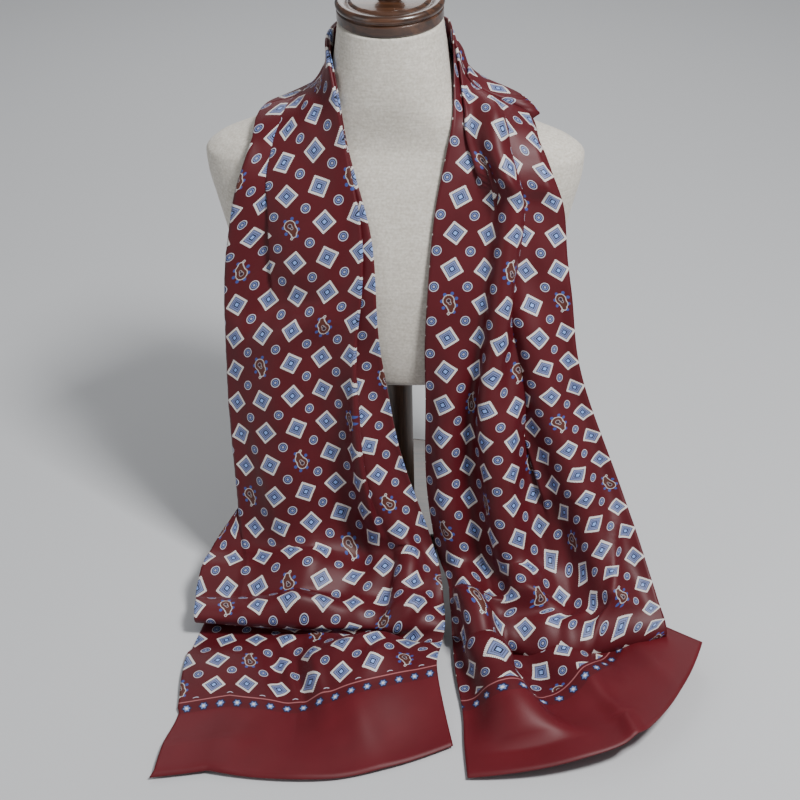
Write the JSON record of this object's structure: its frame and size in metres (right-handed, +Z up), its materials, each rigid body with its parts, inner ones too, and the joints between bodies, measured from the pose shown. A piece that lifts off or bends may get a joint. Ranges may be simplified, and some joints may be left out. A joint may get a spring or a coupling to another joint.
{
  "type": "skinny silk scarf draped on a dress form with a pole stand",
  "caption": "Skinny burgundy foulard silk scarf hanging open round the neck of a linen dress form on a dark wood pole stand.",
  "frame": {"origin": "centre of the stand base's flat underside, on the surface", "axes": "+Z up, -Y towards the front, where the scarf's tails lie, +X to the right as seen from the front"},
  "size_m": [0.4982, 0.5448, 0.6034],
  "materials": {
    "foulard_silk": "printed silk twill, deep burgundy with a blue and cream foulard and paisley pattern",
    "linen": "natural off-white linen, fine plain weave",
    "dark_wood": "dark stained wood, polished",
    "pole_wood": "dark stained wood, satin"
  },
  "bodies": {
    "root": {"scarf_tail_left": "foulard_silk", "scarf_neck": "foulard_silk", "scarf_tail_right": "foulard_silk", "torso_form": "linen", "neck_cap": "dark_wood", "cap_knob": "dark_wood", "stand_pole": "pole_wood", "stand_base": "dark_wood"}
  },
  "joints": []
}
